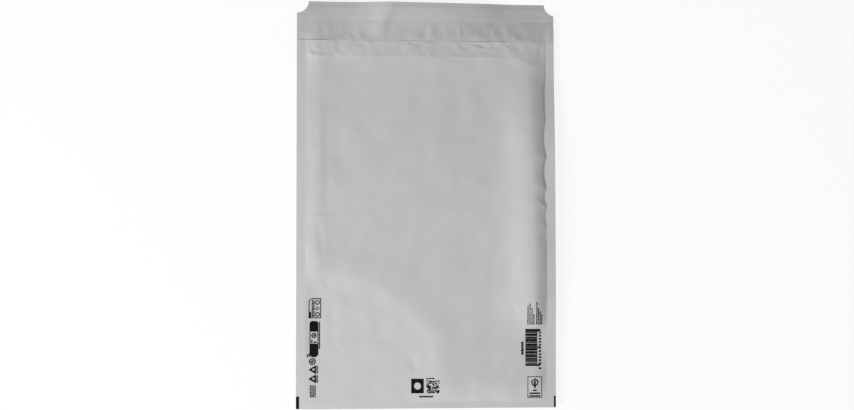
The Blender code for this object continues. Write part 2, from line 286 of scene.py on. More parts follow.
def ridges(x, y):
    along_left = smooth((y - LEFT_RIDGE_START_Y) / LEFT_RIDGE_RISE)
    fall = smooth((RIGHT_RIDGE_END_Y - y) / RIGHT_RIDGE_FALL)
    along_right = smooth((y - RIGHT_RIDGE_START_Y) / RIGHT_RIDGE_RISE)
    along_right = along_right * (RIGHT_RIDGE_LEAST + (1 - RIGHT_RIDGE_LEAST) * fall)
    lean = RIDGE_LEAN * smooth((RIDGE_LEAN_END_Y - y) / RIDGE_LEAN_REACH)
    left = profile(x, LEFT_RIDGE, LEFT_RIDGE_BLUR) * along_left * (x < 0)
    return left + profile(x - lean, RIGHT_RIDGE, RIGHT_RIDGE_BLUR) * along_right


def settled_corner(x, y):
    """How far the padding has sunk in the lower left corner."""
    across = (x - SETTLED_CENTRE[0]) / SETTLED_SIZE[0]
    along = (y - SETTLED_CENTRE[1]) / SETTLED_SIZE[1]
    inside = 1 - np.hypot(across, along)
    rim = SETTLED_RIM * bump(inside, SETTLED_RIM_REACH)
    slope = np.sin(math.pi / 2 * clamp(inside / SETTLED_SLOPE))
    return SETTLED_DEPTH * slope * smooth(inside / SETTLED_FOOT) - rim


def crown(x, y):
    """Height of the pouch away from its seams."""
    settled = settled_corner(x, y) * smooth((SETTLED_END_X - x) / SETTLED_FADE)
    height = profile(x, PAD_PROFILE, LONG_BLUR) + ridges(x, y) - settled
    height = height - MOUTH_FALL * smooth((y - MOUTH_FALL_START_Y) / MOUTH_FALL_REACH)
    past = y - HEM_Y
    height = height + HEM_SWELL * clamp(1 + past / HEM_SWELL_REACH) ** HEM_SWELL_POWER
    lip = HEM_LIP * smooth(1 + past / HEM_LIP_RISE) * (1 - smooth(past / HEM_LIP_WIDTH))
    lip = lip * smooth((HEM_LIP_END_X - x) / HEM_LIP_FADE)
    to_mouth = clamp(past / HEM_WIDTH)
    return height + (profile(x, MOUTH_PROFILE, LONG_BLUR) - height) * to_mouth + lip


def pouch_top(x, y):
    seam = seam_level(x, y) + SEAM_HALF
    return seam + (crown(x, y) - seam) * fullness(x, y)


probe = np.array([0.0, 0.131, -0.132])
print("height in the middle and on the two ridges, mm:", (crown(probe, 0 * probe) / MM).round(1))

# %% [markdown]
# ## The back ply and the flap
# The back ply lies flat on the table, rises to the seams, and runs on past the mouth as the flap. A single
# ply that has been rolled and posted is never flat: it curls off the table in one long wave. Its crest
# stands nearer the left end and leans, so the light slides across it.

# %% Back ply and flap
ROOT_REACH, CREST_LEAN = 0.060, 0.016
# Heights along the flap's free edge, and along its root once it is clear of the seams, as (X, height) in
# millimetres.
FLAP_PROFILE = (
    (-160, 7.2), (-140, 5.6), (-125, 4.3), (-110, 3.7), (-95, 3.9), (-82, 4.8), (-66, 7.2), (-50, 10.6),
    (-42, 11.5), (-32, 10.9), (0, 9.0), (17, 8.2), (42, 7.0), (67, 5.3), (79, 4.0), (91, 1.9), (101, 0.7),
    (111, 0.4), (135, 0.2), (160, 0.1),
)
ROOT_PROFILE = ((-160, 5.6), (-60, 6.1), (0, 5.6), (60, 5.3), (110, 5.2), (160, 5.0))
# Where the flap is pressed up against the mouth's edge, so that the edge hardly shows.
PRESSED_PROFILE = (
    (-160, 0.0), (-124, 0.0), (-116, 0.18), (-56, 0.22), (-36, 0.22), (-28, 0.0), (5, 0.0), (12, 0.2),
    (42, 0.2), (47, 0.0), (84, 0.0), (94, 0.22), (150, 0.22),
)
FLAP_BLUR, ROOT_BLUR, PRESSED_BLUR = 7.0, 30.0, 3.0
# Past the mouth: where the root's own height takes over, and where the pressed rim starts and ends.
ROOT_TAKES_OVER, RIM_START, RIM_END = 0.014, 0.0005, 0.006
# The share of the way to the free edge that rises in a straight line. The rest eases in.
STRAIGHT_SHARE = 0.6


def back_ply(x, y):
    full = fullness(x, y)
    root = profile(x, MOUTH_PROFILE, LONG_BLUR) - TOUCHING_PLIES
    lift = smooth((y - MOUTH_Y + ROOT_REACH) / ROOT_REACH)
    height = (seam_level(x, y) - SEAM_HALF) * (1 - full) + root * lift * full
    past = np.maximum(y - MOUTH_Y, 0)
    along = clamp(past / FLAP_LENGTH)
    height = height + (profile(x, ROOT_PROFILE, ROOT_BLUR) - height) * smooth(past / ROOT_TAKES_OVER)
    rim = smooth(past / RIM_START) * (1 - smooth(past / RIM_END))
    height = height + profile(x, PRESSED_PROFILE, PRESSED_BLUR) * rim
    edge_height = profile(x + CREST_LEAN * (1 - along), FLAP_PROFILE, FLAP_BLUR)
    rise = STRAIGHT_SHARE * along + (1 - STRAIGHT_SHARE) * smooth(along)
    return height + (edge_height - height) * rise


free_edge = profile(np.linspace(-0.15, 0.15, 7), FLAP_PROFILE, FLAP_BLUR)
print("flap's free edge from left to right, mm:", (free_edge / MM).round(1))

# %% [markdown]
# ## Creases, dents and wrinkles
# What tells paper from plastic is how it fails: in short straight creases, a kink where the side was
# pinched, a finger's dent, and a band of fine slanting wrinkles in the hem, where the glued-down film pulls
# at it. Each crease is a line, a width and a height in millimetres. They are laid over the smooth shape as
# real relief, so they are there from every side.

# %% Creases of the pouch and of the flap
POUCH_CREASES = (
    # x0, y0, x1, y1, half width, height
    (-139, -17, -112, -12, 2.0, 0.42),
    (-139, -13, -118, -6, 2.4, -0.38),
    (-118, -100, -114, -200, 5.0, -0.16),
    (-124, 130, -122, -10, 5.0, -0.30),
    (-134, -15, -128, -70, 4.0, -0.35),
    (-130, -90, -117, -103, 2.0, -0.30),
    (-118, -173, -100, -182, 2.0, -0.25),
    (100, -120, 115, -136, 2.4, -0.30),
    (112, -124, 118, -134, 2.0, 0.20),
    (134, 6, 147, -1, 1.4, 0.40),
    (137, -2, 147, -7, 1.5, -0.35),
    (-22, -184, -11, -208, 5.0, -0.36),
    (-30, -196, -14, -192, 3.5, -0.20),
    (-60, -214, -30, -222, 5.0, -0.12),
    (20, -170, 34, -190, 4.0, -0.12),
    (60, 150, 74, 120, 8.0, -0.20),
    (10, 160, 30, 120, 9.0, -0.18),
    (-34, 150, -8, 100, 10.0, 0.16),
    (-150, -242, 150, -242, 0.9, -0.10),
)
HEM_CREASES = (
    # x0, y0, x1, y1, half width, height
    (-74, 203, -68, 193, 2.6, 0.50),
    (-66, 203, -60, 194, 2.2, -0.35),
    (-30, 203, -8, 197, 1.5, -0.35),
    (-28, 200, -10, 194, 1.8, 0.25),
    (-4, 200, 10, 199, 2.0, 0.40),
    (47, 202, 82, 195, 1.6, -0.40),
    (52, 198, 88, 191, 1.9, 0.25),
    (92, 200, 112, 190, 2.4, 0.30),
    (98, 204, 106, 192, 2.2, -0.30),
    (-146, 196, -126, 188, 2.2, 0.22),
    (-140, 186, -120, 198, 2.0, -0.20),
)
FLAP_CREASES = (
    # x0, y0, x1, y1, half width, height
    (42, 203, 41, 225, 2.4, 0.45),
    (47, 204, 46, 224, 3.0, -0.35),
    (88, 203, 82, 222, 3.2, 0.55),
    (97, 204, 93, 226, 4.0, -0.45),
    (110, 203, 112, 214, 2.6, 0.45),
    (118, 203, 124, 218, 3.4, -0.35),
    (-67, 203, -47, 236, 7.0, 0.95),
    (-98, 205, -92, 216, 2.8, 0.30),
    (-84, 204, -80, 214, 2.6, 0.30),
    (-90, 206, -96, 216, 2.6, -0.30),
    (-6, 204, 4, 218, 4.0, -0.30),
    (6, 204, 10, 216, 2.8, 0.28),
    (62, 205, 72, 216, 4.0, 0.30),
    (-150, 206, -120, 218, 4.0, 0.30),
    (-160, 228, 160, 228, 0.7, 0.12),
    (-160, 226, 160, 226, 0.9, -0.10),
)
HEM_WRINKLE, BODY_COCKLE, FLAP_COCKLE = 0.00027, 0.00022, 0.00040
# Lengths over which the relief fades in and out: at the seams, at the fold, at the hem and at the mouth.
SEAM_FADE, FOLD_FADE, FOLD_OVERRUN = 0.006, 0.010, 0.004
HEM_STEP, MOUTH_FADE, MOUTH_OVERRUN = 0.004, 0.006, 0.004
NEAR_MOUTH, NEAR_MOUTH_REACH = 0.010, 0.020


def sum_of_creases(x, y, rows):
    total = 0 * x
    for x0, y0, x1, y1, width, height in rows:
        line = ((x0 * MM, y0 * MM), (x1 * MM, y1 * MM))
        total = total + crease(x, y, line, width * MM, height * MM)
    return total


def past_hem(y):
    """0 on the padded part and 1 from the hem on, with a short step between."""
    return smooth((y - HEM_Y + HEM_STEP / 2) / HEM_STEP)


def pouch_relief(x, y):
    """What the creases and wrinkles add to the top of the pouch, fading out at the seams."""
    inner = smooth((SEAM_X - np.abs(x)) / SEAM_FADE) * smooth((y - PAD_START_Y + FOLD_OVERRUN) / FOLD_FADE)
    drawn_out = turned_cockle(x, y, angle=0.9, size_along=0.016, size_across=0.011, seed=12)
    soft = BODY_COCKLE * (cockle(x, y, size=0.021, seed=11) + 0.6 * drawn_out)
    hem = past_hem(y) * smooth((MOUTH_Y + MOUTH_OVERRUN - y) / MOUTH_FADE)
    one_way = turned_cockle(x, y, angle=0.75, size_along=0.011, size_across=0.0048, seed=21)
    other_way = turned_cockle(x, y, angle=2.3, size_along=0.012, size_across=0.0062, seed=22)
    relief = soft + HEM_WRINKLE * (one_way + 0.7 * other_way) * hem + sum_of_creases(x, y, POUCH_CREASES)
    return relief * inner + sum_of_creases(x, y, HEM_CREASES) * inner


def flap_relief(x, y):
    held = smooth((y - MOUTH_Y) / MOUTH_FADE)
    near_mouth = bump(y - MOUTH_Y - NEAR_MOUTH, NEAR_MOUTH_REACH)
    drawn_out = turned_cockle(x, y, angle=1.2, size_along=0.016, size_across=0.007, seed=32)
    soft = FLAP_COCKLE * (cockle(x, y, size=0.024, seed=31) + near_mouth * drawn_out)
    return (soft + sum_of_creases(x, y, FLAP_CREASES)) * held


def flap_under(x, y):
    """Height of the flap's under side, which nowhere sinks into the table."""
    return np.maximum(back_ply(x, y) + flap_relief(x, y), 0)


crease_counts = (len(POUCH_CREASES) + len(HEM_CREASES), len(FLAP_CREASES))
print("creases: %d on the pouch, %d on the flap" % crease_counts)

# %% [markdown]
# ## One folded sheet
# The paper is one grid, as the real one is one sheet: its rows start at the flap's free edge, run down the
# back, turn round the bottom fold in a tiny half circle and come up the front to the mouth. Columns and
# rows lie closer together where the paper bends most. The two notches at the flap's corners need no
# cutting, since each row there is simply as wide as the notch leaves it.


# %% Grid lines and notches
def eased(start, end, count, ease=1.0):
    """Grid lines from start towards end, without end. An ease above 1 crowds them at the start."""
    return start + (end - start) * (np.arange(count) / count) ** ease


def both_sides(half):
    return np.concatenate([-half[:0:-1], half])


def notch(y, offset):
    """How much of the half width one round punch takes away at this height of the flap."""
    chord = np.sqrt(np.clip(NOTCH_RADIUS**2 - (TOP_Y - y) ** 2, 0, None))
    return np.clip(chord - offset, 0, None)


def fit_notches(x, y):
    room = HALF_WIDTH - np.where(x > 0, notch(y, NOTCH_OFFSET_RIGHT), notch(y, 0))
    return x * room / HALF_WIDTH


def place(x, y, height):
    """Points of a sheet at its height: drawn in at the seams, sagged at the hem, notched at the flap."""
    px = np.where(y > MOUTH_Y, fit_notches(x, y), drawn_x(x, y))
    py = np.where(y > MOUTH_Y, y, sagged_y(x, y))
    return np.stack([px, py, height(x, y, px, py)], axis=-1)


# Where the columns and rows change their pace: denser from here on, towards the seams or the ends.
MIDDLE_END_X, SLOPE_TOP_X = 0.100, 0.128
BOTTOM_END_Y, TOP_START_Y, FRONT_START_Y = -0.21, 0.17, -0.215
SLOPE_COLUMNS, SLOPE_EASE = 24, 1.4
column_half = np.concatenate([
    eased(0.0, MIDDLE_END_X, 47),
    eased(MIDDLE_END_X, SLOPE_TOP_X, 15),
    SEAM_X - (SEAM_X - SLOPE_TOP_X) * (1 - np.arange(SLOPE_COLUMNS) / SLOPE_COLUMNS) ** SLOPE_EASE,
    eased(SEAM_X, HALF_WIDTH, 6),
    [HALF_WIDTH],
])
sheet_columns = both_sides(column_half)
notch_rows = TOP_Y - NOTCH_RADIUS * np.sin(np.linspace(math.pi / 2, 0, 12))
flap_rows = np.concatenate([[MOUTH_Y], eased(MOUTH_Y + RIM_START, notch_rows[0], 28), notch_rows])
back_rows = np.concatenate([
    eased(FOLD_Y, BOTTOM_END_Y, 12, 1.4),
    eased(BOTTOM_END_Y, TOP_START_Y, 14),
    eased(TOP_START_Y, MOUTH_Y, 8),
])
front_rows = np.concatenate([
    eased(FOLD_Y, PAD_START_Y, 4),
    eased(PAD_START_Y, FRONT_START_Y, 16, 1.3),
    eased(FRONT_START_Y, HEM_Y - HEM_STEP, 146),
    eased(HEM_Y - HEM_STEP, HEM_Y + HEM_STEP, 10),
    eased(HEM_Y + HEM_STEP, MOUTH_Y, 15),
    [MOUTH_Y],
])
print("columns", len(sheet_columns), "rows", len(flap_rows) + len(back_rows) + len(front_rows))

# %% [markdown]
# ## From points to a mesh
# A mesh is only points and the faces between them. One helper joins a block of rows and columns into faces,
# and a Solidify modifier then gives the sheet its thickness towards the inside, so the outer face stays
# where it was drawn. The modifier is applied at once, because only a finished mesh can have its cut edges
# marked sharp. Without that the smooth shading would roll over them, and a sheet of paper would look like a
# pillow.


# %% Sheet helper
CUT_EDGE = math.radians(50)


def solid_mesh(piece):
    """Applies the piece's modifiers and marks its cut edges sharp."""
    bpy.context.view_layer.update()
    finished = bpy.data.meshes.new_from_object(piece.evaluated_get(bpy.context.evaluated_depsgraph_get()))
    piece.modifiers.clear()
    piece.data = finished
    finished.shade_smooth()
    finished.set_sharp_from_angle(angle=CUT_EDGE)


def grid_faces(rows, columns):
    """The four-cornered faces between the points of a grid, row by row."""
    index = np.arange(rows * columns).reshape(rows, columns)
    corners = (index[:-1, :-1], index[:-1, 1:], index[1:, 1:], index[1:, :-1])
    return np.stack(corners, axis=-1).reshape(-1, 4).tolist()


def new_piece(name, points, faces):
    """A mesh object of these points and faces, put into the scene."""
    mesh = bpy.data.meshes.new(name)
    mesh.from_pydata(points, [], faces)
    piece = bpy.data.objects.new(name, mesh)
    bpy.context.scene.collection.objects.link(piece)
    return piece


def sheet_object(name, points, thickness):
    faces = grid_faces(*points.shape[:2])
    piece = new_piece(name, points.reshape(-1, 3), faces)
    solid = piece.modifiers.new("thickness", "SOLIDIFY")
    solid.thickness = thickness
    solid.offset = -1
    solid_mesh(piece)
    print(name, "faces on one side:", len(faces))
    return piece


def dress(piece, material, node=None):
    """Gives a piece its finish, lets it ride on the envelope and hides the solid it stands for."""
    piece.data.materials.append(material)
    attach(piece, "root")
    if node:
        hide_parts(node)
    return piece


# %% Paper sheet
def back_height(x, y, px, py):
    return np.where(y > MOUTH_Y, flap_under(px, py), back_ply(x, y))


def front_height(x, y, px, py):
    return np.maximum(pouch_top(x, y) + pouch_relief(px, py), back_ply(x, y) + TOUCHING_PLIES)


def fold_points(columns, steps=5):
    """The half circle round which the paper turns at the bottom."""
    radius = SEAM_HALF
    turn = np.linspace(-math.pi / 2, math.pi / 2, steps + 2)[1:-1, None]
    x = np.broadcast_to(columns, (steps, len(columns)))
    y = FOLD_Y + radius - radius * np.cos(turn) + 0 * x
    return np.stack([x, y, FOLD_LEVEL + radius * np.sin(turn) + 0 * x], axis=-1)


def ply_points(columns, rows, height):
    x, y = np.meshgrid(columns, rows)
    return place(x, y, height)


down_the_back = np.concatenate([back_rows, flap_rows])[::-1]
paper_points = np.concatenate([
    ply_points(sheet_columns, down_the_back, back_height),
    fold_points(sheet_columns),
    ply_points(sheet_columns, front_rows, front_height),
])
paper_points[..., 1] = np.maximum(paper_points[..., 1], FOLD_Y)

# %% [markdown]
# ## White kraft paper
# The finish is nearly plain, and that is why it is hard: a single flat grey looks like plastic. Kraft has
# long fibres, slightly cloudy where they lie thicker, and a dull surface with a faint tooth. Two noises
# make the clouds and the fibres, each shifting the colour by a few hundredths. The fibres also give the
# tooth, as bump, and a third noise adds faint cockles, as bump only. On the flap the sheet's inner face
# shows, and past the mouth its colour is darkened a little: painted shade for the dimmer light on the flap.

# %% Paper finish
CLOUD_DARK, CLOUD_LIGHT = (0.490, 0.494, 0.508), (0.522, 0.521, 0.524)
# Painted shade: the colour on the flap is multiplied by this, so the flap renders a little darker.
FLAP_PAINTED_SHADE = (0.905, 0.904, 0.900)
FULL = (1.0, 1.0, 1.0)


def shade_nodes(name):
    material = bpy.data.materials.new(name)
    material.use_nodes = True
    tree = material.node_tree
    return material, tree, tree.nodes["Principled BSDF"]


def add_node(tree, kind, **sockets):
    node = tree.nodes.new(kind)
    for socket, value in sockets.items():
        node.inputs[socket.replace("_", " ")].default_value = value
    return node


def noise(tree, scale, detail, stretch=(1, 1, 1)):
    """A noise in the envelope's own metres, drawn out where the stretch is below 1."""
    place_node = tree.nodes.new("ShaderNodeTexCoord")
    mapping = add_node(tree, "ShaderNodeMapping", Scale=stretch)
    texture = add_node(tree, "ShaderNodeTexNoise", Scale=scale, Detail=detail)
    tree.links.new(place_node.outputs["Object"], mapping.inputs["Vector"])
    tree.links.new(mapping.outputs["Vector"], texture.inputs["Vector"])
    return texture.outputs["Fac"]


def tone_between(tree, factor, dark, light):
    """Turns a noise into a colour between two close tones."""
    ramp = tree.nodes.new("ShaderNodeValToRGB")
    ramp.color_ramp.elements[0].position, ramp.color_ramp.elements[1].position = 0.3, 0.7
    ramp.color_ramp.elements[0].color = (*dark, 1)
    ramp.color_ramp.elements[1].color = (*light, 1)
    tree.links.new(factor, ramp.inputs["Fac"])
    return ramp.outputs["Color"]


def grey(level):
    return (level, level, level)


def shifted(tone, share):
    return tuple(channel * share for channel in tone)


def add_bump(tree, shader, factor, distance, strength, below=None):
    node = add_node(tree, "ShaderNodeBump", Distance=distance, Strength=strength)
    tree.links.new(factor, node.inputs["Height"])
    if below is not None:
        tree.links.new(below.outputs["Normal"], node.inputs["Normal"])
    tree.links.new(node.outputs["Normal"], shader.inputs["Normal"])
    return node


# The Mix node has several inputs of one name, so the two for colours and the colour output go by number.
FIRST_COLOUR, SECOND_COLOUR, MIXED_COLOUR = 6, 7, 2


def multiply_colours(tree, a, b):
    mix = tree.nodes.new("ShaderNodeMix")
    mix.data_type, mix.blend_type = "RGBA", "MULTIPLY"
    mix.inputs["Factor"].default_value = 1.0
    tree.links.new(a, mix.inputs[FIRST_COLOUR])
    tree.links.new(b, mix.inputs[SECOND_COLOUR])
    return mix.outputs[MIXED_COLOUR]


def vary_roughness(tree, shader, factor, low, high):
    spread = add_node(tree, "ShaderNodeMapRange", To_Min=low, To_Max=high)
    tree.links.new(factor, spread.inputs["Value"])
    tree.links.new(spread.outputs["Result"], shader.inputs["Roughness"])


def past_mouth(tree):
    """1 on the flap, where the paper's inner face is seen and its painted shade goes, and 0 on the pouch.
    """
    place_node = tree.nodes.new("ShaderNodeTexCoord")
    axes = tree.nodes.new("ShaderNodeSeparateXYZ")
    edge = tree.nodes.new("ShaderNodeMath")
    edge.operation = "GREATER_THAN"
    edge.inputs[1].default_value = MOUTH_Y
    tree.links.new(place_node.outputs["Object"], axes.inputs["Vector"])
    tree.links.new(axes.outputs["Y"], edge.inputs[0])
    return edge.outputs[0]


def paper_finish():
    material, tree, shader = shade_nodes("white kraft paper")
    shader.inputs["Specular IOR Level"].default_value = 0.32
    clouds = tone_between(tree, noise(tree, scale=22, detail=6), CLOUD_DARK, CLOUD_LIGHT)
    fibres = noise(tree, scale=950, detail=3, stretch=(1, 0.35, 1))
    fibre_tone = tone_between(tree, fibres, grey(0.965), FULL)
    paper_tone = multiply_colours(tree, clouds, fibre_tone)
    # Past the mouth the colour is darkened: painted shade on the flap.
    inside = past_mouth(tree)
    with_painted_shade = multiply_colours(tree, paper_tone, tone_between(tree, inside, FULL, FLAP_PAINTED_SHADE))
    tree.links.new(with_painted_shade, shader.inputs["Base Color"])
    vary_roughness(tree, shader, fibres, low=0.66, high=0.80)
    cockles = add_bump(tree, shader, noise(tree, scale=130, detail=3), distance=0.0002, strength=0.35)
    add_bump(tree, shader, fibres, distance=0.00004, strength=0.5, below=cockles)
    print("paper finish nodes:", len(tree.nodes))
    return material


white_paper = paper_finish()
paper = dress(sheet_object("paper_sheet", paper_points, PAPER), white_paper, "paper_envelope")

# %% [markdown]
# ## The bubble film
# Bubble film is two thin films welded together, one flat and one drawn up into round cushions of air.
# Inside the envelope the flat side faces the goods, so the cushions press against the paper. It is modelled
# as a folded sheet like the paper, plus one low dome for each bubble in close-packed rows. Near the seams
# and in the hem the film is squeezed, so the room between the plies sets how high a bubble can stand.

# %% Film and bubbles
FILM = 0.00012
BUBBLE_HEIGHT, BUBBLE_RADIUS, BUBBLE_PITCH = 0.0032, 0.0048, 0.0114
CRUSHED_FILM = 0.0005
FILM_MARGIN, FILM_SHORT_OF_MOUTH = 0.0015, 0.012
FILM_X, FILM_START_Y = SEAM_X - FILM_MARGIN, PAD_START_Y + FILM_MARGIN
FILM_END_Y = MOUTH_Y - FILM_SHORT_OF_MOUTH
FILM_SLOPE_TOP_X = 0.125
FILM_GAP = 0.00004
# The share of the room between the plies that a bubble takes where the room is too low for it.
SQUEEZED_SHARE = 0.86


def film_stand(x, y):
    """How far the flat film stands off the paper: a bubble's height, or what the squeezed places leave."""
    room = (pouch_top(x, y) - back_ply(x, y)) / 2 - PAPER - FILM_GAP - FILM
    most = BUBBLE_HEIGHT + (CRUSHED_FILM - BUBBLE_HEIGHT) * past_hem(y)
    return np.clip(SQUEEZED_SHARE * room, 0, most)


def film_front(x, y, px, py):
    return front_height(x, y, px, py) - PAPER - FILM_GAP - film_stand(x, y)


def film_back(x, y, px, py):
    return back_ply(x, y) + PAPER + FILM_GAP + film_stand(x, y)


film_columns = both_sides(np.concatenate([
    eased(0, FILM_SLOPE_TOP_X, 22),
    FILM_X - (FILM_X - FILM_SLOPE_TOP_X) * eased(1, 0, 9),
    [FILM_X],
]))
film_rows = np.concatenate([
    eased(FILM_START_Y, BOTTOM_END_Y, 9, 1.3),
    eased(BOTTOM_END_Y, TOP_START_Y, 66),
    eased(TOP_START_Y, FILM_END_Y, 12),
    [FILM_END_Y],
])
film_points = np.concatenate([
    ply_points(film_columns, film_rows[::-1], film_back),
    ply_points(film_columns, film_rows, film_front),
])
print("film grid", film_points.shape[:2])


# Margins without bubbles: at the hem and the fold, up to the first row, and at the seams.
END_MARGIN, FIRST_ROW, SIDE_MARGIN = 0.006, 0.009, 0.0065
BUBBLE_SIDES = 8
# Foot, shoulder and the rim of the flat top, as shares of a bubble's radius and height.
BUBBLE_RINGS = ((1.0, 0.0), (0.94, 0.55), (0.62, 0.93))
BUBBLE_POINTS = BUBBLE_SIDES * len(BUBBLE_RINGS)


def bubble_centres():
    """Close-packed rows of bubbles between the seams, the fold and the hem."""
    centres = []
    row_pitch = BUBBLE_PITCH * math.sin(math.pi / 3)
    rows = int((HEM_Y - END_MARGIN - FILM_START_Y - END_MARGIN) / row_pitch)
    for row in range(rows):
        y = FILM_START_Y + FIRST_ROW + row * row_pitch
        start = -FILM_X + SIDE_MARGIN + (row % 2) * BUBBLE_PITCH / 2
        count = int((FILM_X - SIDE_MARGIN - start) / BUBBLE_PITCH) + 1
        centres += [(start + column * BUBBLE_PITCH, y) for column in range(count)]
    return np.array(centres)


def bubble_points(centres, height, outward):
    """The rings of points of every bubble at once."""
    turns = np.linspace(0, 2 * math.pi, BUBBLE_SIDES, endpoint=False)
    points = []
    for radius, rise in BUBBLE_RINGS:
        x = centres[:, 0, None] + BUBBLE_RADIUS * radius * np.cos(turns)
        y = centres[:, 1, None] + BUBBLE_RADIUS * radius * np.sin(turns)
        flat = place(x, y, height)
        flat[..., 2] += outward * (rise * film_stand(x, y))
        points.append(flat)
    return np.stack(points, axis=1)


def bubble_faces(count, first, outward):
    """Faces between the rings, a flat cap and a flat foot, the same for every bubble."""
    faces = []
    for bubble in range(count):
        base = first + bubble * BUBBLE_POINTS
        for ring in range(len(BUBBLE_RINGS) - 1):
            start = base + ring * BUBBLE_SIDES
            for k in range(BUBBLE_SIDES):
                a, b = start + k, start + (k + 1) % BUBBLE_SIDES
                quad = (a, b, b + BUBBLE_SIDES, a + BUBBLE_SIDES)
                faces.append(quad if outward > 0 else quad[::-1])
        foot = tuple(base + k for k in range(BUBBLE_SIDES))
        cap = tuple(corner + BUBBLE_POINTS - BUBBLE_SIDES for corner in foot)
        faces.append(cap if outward > 0 else cap[::-1])
        faces.append(foot[::-1] if outward > 0 else foot)
    return faces


# %% [markdown]
# ## Film finish
# Polythene film is clear but catches the light, so it is a smooth, half see-through surface with a slight
# crinkle. One alpha number on the shader is enough here, because the film only shows inside the mouth.


# %% Film finish
def film_finish():
    material, tree, shader = shade_nodes("bubble film")
    shader.inputs["Alpha"].default_value = 0.5
    shader.inputs["IOR"].default_value = 1.5
    clouds = tone_between(tree, noise(tree, scale=60, detail=3), (0.76, 0.80, 0.82), (0.83, 0.86, 0.88))
    tree.links.new(clouds, shader.inputs["Base Color"])
    crinkle = noise(tree, scale=300, detail=4)
    vary_roughness(tree, shader, crinkle, low=0.14, high=0.30)
    add_bump(tree, shader, crinkle, distance=0.0003, strength=0.4)
    return material


film_material = film_finish()
film_sheet = sheet_object("bubble_film_sheet", film_points, FILM)
dress(film_sheet, film_material, "bubble_lining")

centres = bubble_centres()
front_bubbles = bubble_points(centres, film_front, 1)
back_bubbles = bubble_points(centres, film_back, -1)
both_layers = np.concatenate([front_bubbles.reshape(-1, 3), back_bubbles.reshape(-1, 3)])
front_faces = bubble_faces(len(centres), 0, 1)
back_faces = bubble_faces(len(centres), BUBBLE_POINTS * len(centres), -1)
bubbles = new_piece("bubbles", both_layers, front_faces + back_faces)
bubbles.data.shade_smooth()
dress(bubbles, film_material)
print("bubbles:", 2 * len(centres))

# %% [markdown]
# ## Adhesive and liner
# The strip of adhesive runs along the flap and stops short of its ends. The liner over it is a thin
# siliconed paper, a little yellower and smoother than the kraft, and it is as wide as the flap, so the same
# notches cut its corners. Its ends aren't held by any glue and lift a little, which is how one finds the
# end to pull.

# %% Adhesive strip
LINER_START_Y, LINER_END_Y = 0.2285, 0.2455
LINER, ADHESIVE = 0.00010, 0.00010
STICKY_HALF_LENGTH, STICKY_HALF_WIDTH, STICKY_EDGE = 0.144, 0.006, 0.0022
STICKY_MID_Y = (LINER_START_Y + LINER_END_Y) / 2
END_LIFT = 0.0009
SEPARATION = 0.00006


def on_flap(rise, edge_rise, corner_lift=0.0):
    """Height of an outer face on the flap, with its own rise over the adhesive and beside it."""

    def height(x, y, px, py):
        loose = smooth((np.abs(x) - STICKY_HALF_LENGTH) / (HALF_WIDTH - STICKY_HALF_LENGTH))
        below = clamp((LINER_END_Y - y) / (LINER_END_Y - LINER_START_Y))
        off_strip = smooth((np.abs(y - STICKY_MID_Y) - STICKY_HALF_WIDTH) / STICKY_EDGE)
        stand = rise + (edge_rise - rise) * off_strip
        return flap_under(px, py) + PAPER + stand + corner_lift * loose * below

    return height


sticky_columns = sheet_columns[np.abs(sheet_columns) < STICKY_HALF_LENGTH]
sticky_rows = np.linspace(STICKY_MID_Y - STICKY_HALF_WIDTH, STICKY_MID_Y + STICKY_HALF_WIDTH, 9)
sticky_height = on_flap(SEPARATION + ADHESIVE, SEPARATION + ADHESIVE)
sticky_points = ply_points(sticky_columns, sticky_rows, sticky_height)


def adhesive_finish():
    material, tree, shader = shade_nodes("hot melt adhesive")
    flow = noise(tree, scale=260, detail=3, stretch=(0.3, 1, 1))
    tone = tone_between(tree, flow, (0.56, 0.48, 0.30), (0.66, 0.59, 0.40))
    tree.links.new(tone, shader.inputs["Base Color"])
    vary_roughness(tree, shader, flow, low=0.25, high=0.42)
    add_bump(tree, shader, flow, distance=0.0002, strength=0.5)
    return material


adhesive_sheet = sheet_object("adhesive_strip_sheet", sticky_points, ADHESIVE)
dress(adhesive_sheet, adhesive_finish(), "adhesive_strip")

# %% Release liner
LINER_TONE = (0.492, 0.490, 0.485)
# The liner takes over the flap's rows where the notches are, from just below them to its own upper edge.
NOTCH_ROWS_FROM, NOTCH_ROWS_TO, STRAIGHT_ROWS_TO = 0.2359, 0.2454, 0.2358
shared_rows = notch_rows[(notch_rows > NOTCH_ROWS_FROM) & (notch_rows < NOTCH_ROWS_TO)]
liner_rows = np.concatenate([np.linspace(LINER_START_Y, STRAIGHT_ROWS_TO, 12), shared_rows, [LINER_END_Y]])
liner_height = on_flap(2 * SEPARATION + ADHESIVE + LINER, SEPARATION + LINER, END_LIFT)
liner_points = ply_points(sheet_columns, liner_rows, liner_height)


def liner_finish():
    """Smooth siliconed paper with the fine lines of the roll running along it."""
    material, tree, shader = shade_nodes("siliconed liner paper")
    shader.inputs["Specular IOR Level"].default_value = 0.4
    roll_lines = noise(tree, scale=700, detail=2, stretch=(0.01, 1, 1))
    cloudy = noise(tree, scale=50, detail=3)
    clouds = tone_between(tree, cloudy, shifted(LINER_TONE, 0.975), shifted(LINER_TONE, 1.025))
    line_tone = tone_between(tree, roll_lines, grey(0.955), FULL)
    tree.links.new(multiply_colours(tree, clouds, line_tone), shader.inputs["Base Color"])
    vary_roughness(tree, shader, roll_lines, low=0.46, high=0.58)
    add_bump(tree, shader, roll_lines, distance=0.00006, strength=0.5)
    return material


liner_sheet = sheet_object("release_liner_sheet", liner_points, LINER)
dress(liner_sheet, liner_finish(), "release_liner")

